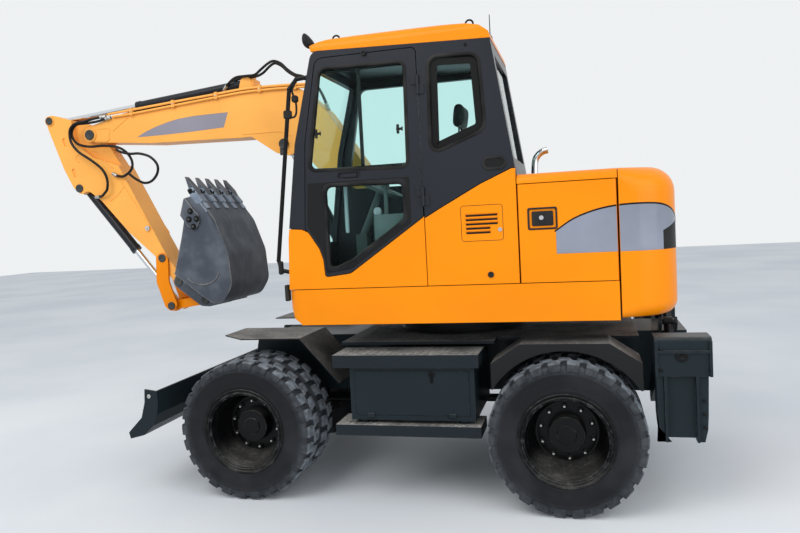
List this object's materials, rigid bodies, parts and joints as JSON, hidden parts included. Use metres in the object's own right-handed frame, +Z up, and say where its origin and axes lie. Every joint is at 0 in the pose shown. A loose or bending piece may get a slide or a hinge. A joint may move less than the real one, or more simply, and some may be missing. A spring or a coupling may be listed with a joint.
{
  "type": "wheeled excavator",
  "caption": "Compact wheeled excavator with a cab, tucked digging boom, arm and bucket, a front blade and rear outriggers on twin-tyred axles.",
  "frame": {"origin": "on the ground under the middle of the machine as it stands in its travel pose", "axes": "+X forward, the way the machine drives blade first; +Y to its left, the cab side; +Z up"},
  "size_m": [5.3492, 2.104, 3.1503],
  "materials": {
    "orange_paint": "satin orange enamel, lightly dusted",
    "slate_paint": "dark slate enamel, dusty",
    "charcoal_paint": "dark charcoal enamel",
    "fender_paint": "dark warm grey enamel, dusty",
    "black_paint": "black enamel",
    "tyre_rubber": "matt, dusty",
    "bucket_grey": "mid grey enamel, scuffed",
    "rod_chrome": "ground and polished",
    "bright_steel": "polished tube",
    "tinted_glass": "green tint",
    "seat_fabric": "dark woven",
    "dark_plastic": "matt",
    "engine_iron": "painted casting"
  },
  "bodies": {
    "chassis": {"chassis_frame": "slate_paint", "deck": "slate_paint", "tool_boxes": "slate_paint", "steps": "slate_paint", "fenders": "fender_paint", "axle_front": "slate_paint", "axle_rear": "slate_paint", "driveline": "black_paint"},
    "knuckle_left": {"knuckle_left": "slate_paint"},
    "knuckle_right": {"knuckle_right": "slate_paint"},
    "wheel_front_left": {"wheels_front_left": "black_paint", "tyres_front_left": "tyre_rubber"},
    "wheel_front_right": {"wheels_front_right": "black_paint", "tyres_front_right": "tyre_rubber"},
    "wheel_rear_left": {"wheels_rear_left": "black_paint", "tyres_rear_left": "tyre_rubber"},
    "wheel_rear_right": {"wheels_rear_right": "black_paint", "tyres_rear_right": "tyre_rubber"},
    "blade": {"blade": "slate_paint"},
    "blade_barrel": {"blade_barrel": "black_paint"},
    "blade_rod": {"blade_rod": "rod_chrome"},
    "outrigger_left": {"outrigger_left": "slate_paint"},
    "outrigger_right": {"outrigger_right": "slate_paint"},
    "outrigger_left_barrel": {"outrigger_barrel_left": "black_paint"},
    "outrigger_right_barrel": {"outrigger_barrel_right": "black_paint"},
    "outrigger_left_rod": {"outrigger_rod_left": "rod_chrome"},
    "outrigger_right_rod": {"outrigger_rod_right": "rod_chrome"},
    "upper": {"upper_frame": "charcoal_paint", "side_skirts": "orange_paint", "counterweight": "orange_paint", "hood": "orange_paint", "engine": "engine_iron", "service_panel": "orange_paint", "right_tank": "orange_paint", "cab_shell": "charcoal_paint", "cab_sill": "orange_paint", "cab_roof": "orange_paint", "cab_glass": "tinted_glass", "seat": "seat_fabric", "controls": "dark_plastic", "exhaust": "bright_steel", "grab_rail": "black_paint"},
    "engine_door": {"engine_door": "orange_paint"},
    "cab_door": {"cab_door": "charcoal_paint", "door_glass": "tinted_glass"},
    "boom": {"boom": "orange_paint"},
    "arm": {"arm": "orange_paint"},
    "bucket": {"bucket": "bucket_grey"},
    "rocker": {"rocker": "orange_paint"},
    "bucket_link": {"bucket_link": "orange_paint"},
    "boom_barrel": {"boom_barrel": "charcoal_paint"},
    "boom_rod": {"boom_rod": "rod_chrome"},
    "arm_barrel": {"arm_barrel": "charcoal_paint"},
    "arm_rod": {"arm_rod": "rod_chrome"},
    "bucket_barrel": {"bucket_barrel": "charcoal_paint"},
    "bucket_rod": {"bucket_rod": "rod_chrome"}
  },
  "joints": [
    {"name": "steer_left", "type": "hinge", "parent": "chassis", "child": "knuckle_left", "pos_m": [0.383, 0.47, 0.487], "axis": [0, 0, 1], "range_deg": [-20, 20]},
    {"name": "steer_right", "type": "hinge", "parent": "chassis", "child": "knuckle_right", "pos_m": [0.383, -0.47, 0.487], "axis": [0, 0, 1], "range_deg": [-20, 20]},
    {"name": "wheel_front_left_spin", "type": "hinge", "parent": "knuckle_left", "child": "wheel_front_left", "pos_m": [0.383, 0.767, 0.487], "axis": [0, 1, 0], "continuous": true},
    {"name": "wheel_front_right_spin", "type": "hinge", "parent": "knuckle_right", "child": "wheel_front_right", "pos_m": [0.383, -0.767, 0.487], "axis": [0, 1, 0], "continuous": true},
    {"name": "wheel_rear_left_spin", "type": "hinge", "parent": "chassis", "child": "wheel_rear_left", "pos_m": [-1.797, 0.807, 0.487], "axis": [0, 1, 0], "continuous": true},
    {"name": "wheel_rear_right_spin", "type": "hinge", "parent": "chassis", "child": "wheel_rear_right", "pos_m": [-1.797, -0.807, 0.487], "axis": [0, 1, 0], "continuous": true},
    {"name": "slew", "type": "hinge", "parent": "chassis", "child": "upper", "pos_m": [-1.017, 0, 1.15], "axis": [0, 0, 1], "continuous": true},
    {"name": "cab_door_hinge", "type": "hinge", "parent": "upper", "child": "cab_door", "pos_m": [-0.969, 0.992, 2], "axis": [0, 0, 1], "range_deg": [0, 150]},
    {"name": "engine_door_hinge", "type": "hinge", "parent": "upper", "child": "engine_door", "pos_m": [-2.127, 0.965, 1.75], "axis": [0, 0, 1], "range_deg": [0, 100]},
    {"name": "boom_raise", "type": "hinge", "parent": "upper", "child": "boom", "pos_m": [-0.697, -0.14, 1.56], "axis": [0, -1, 0], "range_deg": [-9, 30]},
    {"name": "boom_barrel_swing", "type": "hinge", "parent": "upper", "child": "boom_barrel", "pos_m": [-0.167, -0.14, 1.39], "axis": [0, -1, 0], "range_deg": [-9.82, 30.41]},
    {"name": "boom_rod_slide", "type": "slide", "parent": "boom_barrel", "child": "boom_rod", "axis": [0.4305, 0, 0.9026], "range_m": [-0.0915, 0.2935]},
    {"name": "arm_swing", "type": "hinge", "parent": "boom", "child": "arm", "pos_m": [2.215, -0.14, 2.779], "axis": [0, 1, 0], "range_deg": [-105, 0]},
    {"name": "arm_barrel_swing", "type": "hinge", "parent": "boom", "child": "arm_barrel", "pos_m": [0.72, -0.14, 3.098], "axis": [0, -1, 0], "range_deg": [-1, 12.84]},
    {"name": "arm_rod_slide", "type": "slide", "parent": "arm_barrel", "child": "arm_rod", "axis": [0.9963, 0, -0.0859], "range_m": [-0.6379, 0.005]},
    {"name": "bucket_curl", "type": "hinge", "parent": "arm", "child": "bucket", "pos_m": [1.422, -0.14, 1.469], "axis": [0, 1, 0], "range_deg": [-120, 0]},
    {"name": "rocker_swing", "type": "hinge", "parent": "arm", "child": "rocker", "pos_m": [1.58, -0.14, 1.673], "axis": [0, -1, 0], "range_deg": [-1, 74.54]},
    {"name": "bucket_link_swing", "type": "hinge", "parent": "bucket", "child": "bucket_link", "pos_m": [1.183, -0.14, 1.305], "axis": [0, -1, 0], "range_deg": [-73.29, 1]},
    {"name": "bucket_barrel_swing", "type": "hinge", "parent": "arm", "child": "bucket_barrel", "pos_m": [2.369, -0.14, 2.322], "axis": [0, -1, 0], "range_deg": [-1, 15.42]},
    {"name": "bucket_rod_slide", "type": "slide", "parent": "bucket_barrel", "child": "bucket_rod", "axis": [-0.6228, 0, -0.7824], "range_m": [-0.4177, 0.005]},
    {"name": "blade_lift", "type": "hinge", "parent": "chassis", "child": "blade", "pos_m": [0.573, 0, 0.5], "axis": [0, -1, 0], "range_deg": [-40, 4]},
    {"name": "blade_barrel_swing", "type": "hinge", "parent": "chassis", "child": "blade_barrel", "pos_m": [0.433, 0, 0.96], "axis": [0, -1, 0], "range_deg": [-18.24, 2.72]},
    {"name": "blade_rod_slide", "type": "slide", "parent": "blade_barrel", "child": "blade_rod", "axis": [0.8728, 0, -0.4881], "range_m": [-0.0253, 0.2082]},
    {"name": "outrigger_left_swing", "type": "hinge", "parent": "chassis", "child": "outrigger_left", "pos_m": [-2.477, 0.375, 0.62], "axis": [1, 0, 0], "range_deg": [-92, 0]},
    {"name": "outrigger_left_barrel_swing", "type": "hinge", "parent": "chassis", "child": "outrigger_left_barrel", "pos_m": [-2.477, 0.3, 1.102], "axis": [1, 0, 0], "range_deg": [-11.38, 1]},
    {"name": "outrigger_left_rod_slide", "type": "slide", "parent": "outrigger_left_barrel", "child": "outrigger_left_rod", "axis": [0, 0.503, -0.8643], "range_m": [-0.005, 0.2572]},
    {"name": "outrigger_right_swing", "type": "hinge", "parent": "chassis", "child": "outrigger_right", "pos_m": [-2.477, -0.375, 0.62], "axis": [-1, 0, 0], "range_deg": [-92, 0]},
    {"name": "outrigger_right_barrel_swing", "type": "hinge", "parent": "chassis", "child": "outrigger_right_barrel", "pos_m": [-2.477, -0.3, 1.102], "axis": [-1, 0, 0], "range_deg": [-11.38, 1]},
    {"name": "outrigger_right_rod_slide", "type": "slide", "parent": "outrigger_right_barrel", "child": "outrigger_right_rod", "axis": [0, -0.503, -0.8643], "range_m": [-0.005, 0.2572]}
  ],
  "couplings": [
    {"joint": "steer_right", "follows": "steer_left", "ratio": 1},
    {"joint": "boom_barrel_swing", "follows": "boom_raise", "ratio": 0.98038},
    {"joint": "boom_rod_slide", "follows": "boom_raise", "m_per_rad": 0.55091},
    {"joint": "arm_barrel_swing", "follows": "arm_swing", "ratio": -0.11278},
    {"joint": "arm_rod_slide", "follows": "arm_swing", "m_per_rad": 0.34538},
    {"joint": "rocker_swing", "follows": "bucket_curl", "ratio": -0.61285},
    {"joint": "bucket_link_swing", "follows": "bucket_curl", "ratio": 0.60241},
    {"joint": "bucket_barrel_swing", "follows": "bucket_curl", "ratio": -0.12016},
    {"joint": "bucket_rod_slide", "follows": "bucket_curl", "m_per_rad": 0.19707},
    {"joint": "blade_barrel_swing", "follows": "blade_lift", "ratio": 0.43108},
    {"joint": "blade_rod_slide", "follows": "blade_lift", "m_per_rad": -0.29111},
    {"joint": "outrigger_left_barrel_swing", "follows": "outrigger_left_swing", "ratio": 0.11285},
    {"joint": "outrigger_left_rod_slide", "follows": "outrigger_left_swing", "m_per_rad": -0.15706},
    {"joint": "outrigger_right_barrel_swing", "follows": "outrigger_right_swing", "ratio": 0.11285},
    {"joint": "outrigger_right_rod_slide", "follows": "outrigger_right_swing", "m_per_rad": -0.15706}
  ]
}
